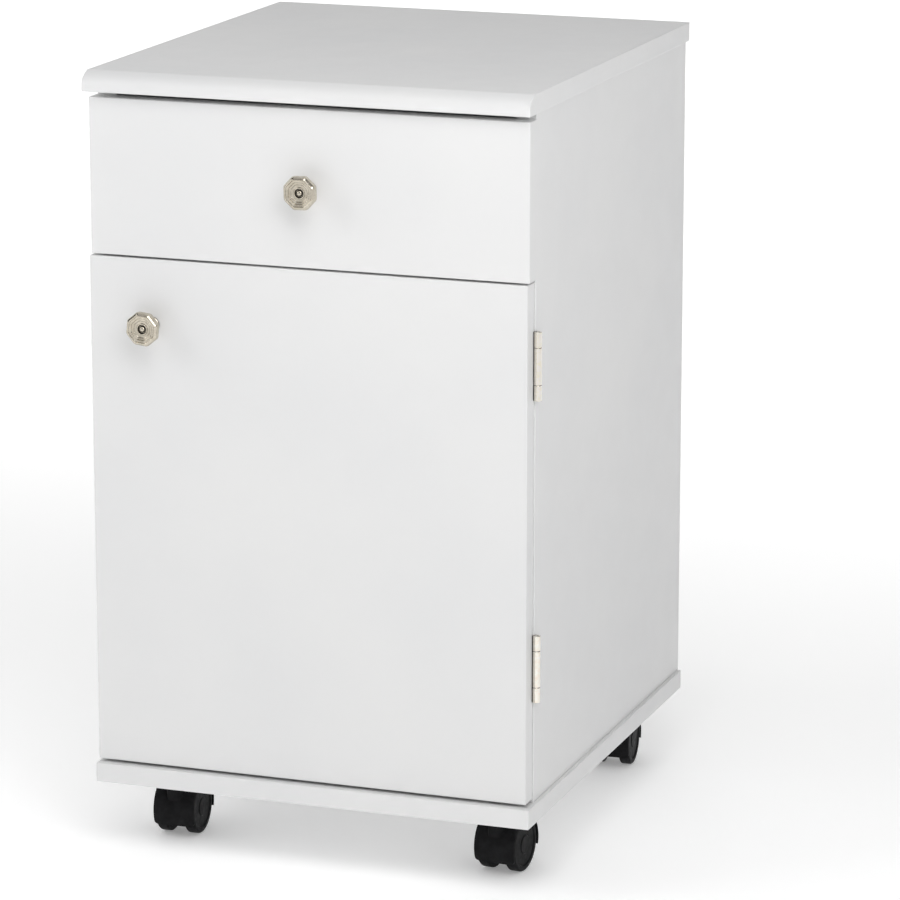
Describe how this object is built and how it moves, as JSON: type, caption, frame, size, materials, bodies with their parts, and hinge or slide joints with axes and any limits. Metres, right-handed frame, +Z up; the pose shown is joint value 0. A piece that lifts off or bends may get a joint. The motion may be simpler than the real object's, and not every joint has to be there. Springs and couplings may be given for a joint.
{
  "type": "rolling pedestal cabinet",
  "caption": "White panel pedestal cabinet on hooded twin-wheel casters: drawer above a side-hinged cupboard door, octagonal knobs, overhanging top with a rounded front edge.",
  "frame": {"origin": "on the floor, under the middle of the cabinet's width and depth over the knobs and hinges", "axes": "+X to the right seen from the front, +Y from front to back, +Z up"},
  "size_m": [0.4192, 0.4855, 0.7225],
  "materials": {
    "white_laminate": "satin white thermofoil over fibreboard",
    "drawer_board": "matt white melamine board",
    "white_hardboard": "painted hardboard, slightly rough",
    "beech": "plain fluted beech",
    "satin_nickel": "warm satin nickel plate",
    "zinc_plate": "bright zinc plated steel",
    "cast_zinc": "dull die-cast zinc",
    "white_epoxy": "white epoxy coat",
    "white_nylon": "natural nylon",
    "ferrite": "dark sintered ferrite",
    "black_plastic": "black moulded nylon, fine texture",
    "axle_steel": "plain drawn steel"
  },
  "bodies": {
    "cabinet": {"top_panel": "white_laminate", "left_side_panel": "white_laminate", "right_side_panel": "white_laminate", "base_panel": "white_laminate", "back_panel": "white_hardboard", "divider_panel": "white_laminate", "shelf": "white_laminate", "shelf_pins": "zinc_plate", "cam_locks": "cast_zinc", "cam_bolts": "zinc_plate", "wood_dowels": "beech", "left_cabinet_slide": "white_epoxy", "right_cabinet_slide": "white_epoxy", "cabinet_slide_rivets": "zinc_plate", "hinge_side_leaves": "satin_nickel", "hinge_pins": "satin_nickel", "cabinet_screws": "zinc_plate", "catch_case": "white_nylon", "catch_magnet": "ferrite", "catch_poles": "zinc_plate", "caster_plates": "zinc_plate", "kingpins": "zinc_plate", "caster_screws": "zinc_plate"},
    "drawer": {"drawer_front": "white_laminate", "drawer_left_side": "drawer_board", "drawer_right_side": "drawer_board", "drawer_back": "drawer_board", "drawer_bottom": "white_hardboard", "drawer_knob": "satin_nickel", "drawer_knob_screw": "zinc_plate", "left_drawer_slide": "white_epoxy", "right_drawer_slide": "white_epoxy", "drawer_slide_rivets": "zinc_plate", "drawer_cam_locks": "cast_zinc", "drawer_cam_bolts": "zinc_plate", "drawer_screws": "zinc_plate"},
    "door": {"door_panel": "white_laminate", "door_knob": "satin_nickel", "door_knob_screw": "zinc_plate", "hinge_door_leaves": "satin_nickel", "door_screws": "zinc_plate", "strike_plate": "zinc_plate"},
    "front_rollers": {"front_rollers": "white_nylon"},
    "back_rollers": {"back_rollers": "white_nylon"},
    "front_left_caster": {"front_left_caster_hood": "black_plastic", "front_left_caster_axle": "axle_steel"},
    "front_left_caster_left_wheel": {"front_left_caster_left_wheel": "black_plastic"},
    "front_left_caster_right_wheel": {"front_left_caster_right_wheel": "black_plastic"},
    "front_right_caster": {"front_right_caster_hood": "black_plastic", "front_right_caster_axle": "axle_steel"},
    "front_right_caster_left_wheel": {"front_right_caster_left_wheel": "black_plastic"},
    "front_right_caster_right_wheel": {"front_right_caster_right_wheel": "black_plastic"},
    "back_left_caster": {"back_left_caster_hood": "black_plastic", "back_left_caster_axle": "axle_steel"},
    "back_left_caster_left_wheel": {"back_left_caster_left_wheel": "black_plastic"},
    "back_left_caster_right_wheel": {"back_left_caster_right_wheel": "black_plastic"},
    "back_right_caster": {"back_right_caster_hood": "black_plastic", "back_right_caster_axle": "axle_steel"},
    "back_right_caster_left_wheel": {"back_right_caster_left_wheel": "black_plastic"},
    "back_right_caster_right_wheel": {"back_right_caster_right_wheel": "black_plastic"}
  },
  "joints": [
    {"name": "drawer_slide", "type": "slide", "parent": "cabinet", "child": "drawer", "axis": [0, -1, 0], "range_m": [0, 0.3]},
    {"name": "front_rollers_spin", "type": "hinge", "parent": "cabinet", "child": "front_rollers", "pos_m": [0, -0.1842, 0.5858], "axis": [1, 0, 0], "continuous": true},
    {"name": "back_rollers_spin", "type": "hinge", "parent": "drawer", "child": "back_rollers", "pos_m": [0, 0.188, 0.5858], "axis": [1, 0, 0], "continuous": true},
    {"name": "door_hinge", "type": "hinge", "parent": "cabinet", "child": "door", "pos_m": [0.207, -0.1996, 0.34595], "axis": [0, 0, 1], "range_deg": [0, 190]},
    {"name": "front_left_caster_swivel", "type": "hinge", "parent": "cabinet", "child": "front_left_caster", "pos_m": [-0.1572, -0.1589, 0.065], "axis": [0, 0, 1], "continuous": true},
    {"name": "front_left_caster_left_wheel_spin", "type": "hinge", "parent": "front_left_caster", "child": "front_left_caster_left_wheel", "pos_m": [-0.15787, -0.13971, 0.025], "axis": [0.9994, 0.0349, 0], "continuous": true},
    {"name": "front_left_caster_right_wheel_spin", "type": "hinge", "parent": "front_left_caster", "child": "front_left_caster_right_wheel", "pos_m": [-0.15787, -0.13971, 0.025], "axis": [0.9994, 0.0349, 0], "continuous": true},
    {"name": "front_right_caster_swivel", "type": "hinge", "parent": "cabinet", "child": "front_right_caster", "pos_m": [0.1572, -0.1589, 0.065], "axis": [0, 0, 1], "continuous": true},
    {"name": "front_right_caster_left_wheel_spin", "type": "hinge", "parent": "front_right_caster", "child": "front_right_caster_left_wheel", "pos_m": [0.15921, -0.13981, 0.025], "axis": [0.9945, -0.1045, 0], "continuous": true},
    {"name": "front_right_caster_right_wheel_spin", "type": "hinge", "parent": "front_right_caster", "child": "front_right_caster_right_wheel", "pos_m": [0.15921, -0.13981, 0.025], "axis": [0.9945, -0.1045, 0], "continuous": true},
    {"name": "back_left_caster_swivel", "type": "hinge", "parent": "cabinet", "child": "back_left_caster", "pos_m": [-0.1572, 0.1765, 0.065], "axis": [0, 0, 1], "continuous": true},
    {"name": "back_left_caster_left_wheel_spin", "type": "hinge", "parent": "back_left_caster", "child": "back_left_caster_left_wheel", "pos_m": [-0.15821, 0.19567, 0.025], "axis": [0.9986, 0.0523, 0], "continuous": true},
    {"name": "back_left_caster_right_wheel_spin", "type": "hinge", "parent": "back_left_caster", "child": "back_left_caster_right_wheel", "pos_m": [-0.15821, 0.19567, 0.025], "axis": [0.9986, 0.0523, 0], "continuous": true},
    {"name": "back_right_caster_swivel", "type": "hinge", "parent": "cabinet", "child": "back_right_caster", "pos_m": [0.1572, 0.1765, 0.065], "axis": [0, 0, 1], "continuous": true},
    {"name": "back_right_caster_left_wheel_spin", "type": "hinge", "parent": "back_right_caster", "child": "back_right_caster_left_wheel", "pos_m": [0.15586, 0.19565, 0.025], "axis": [0.9976, 0.0698, 0], "continuous": true},
    {"name": "back_right_caster_right_wheel_spin", "type": "hinge", "parent": "back_right_caster", "child": "back_right_caster_right_wheel", "pos_m": [0.15586, 0.19565, 0.025], "axis": [0.9976, 0.0698, 0], "continuous": true}
  ],
  "couplings": [
    {"joint": "front_rollers_spin", "follows": "drawer_slide", "rad_per_m": 125},
    {"joint": "back_rollers_spin", "follows": "drawer_slide", "rad_per_m": 125}
  ]
}
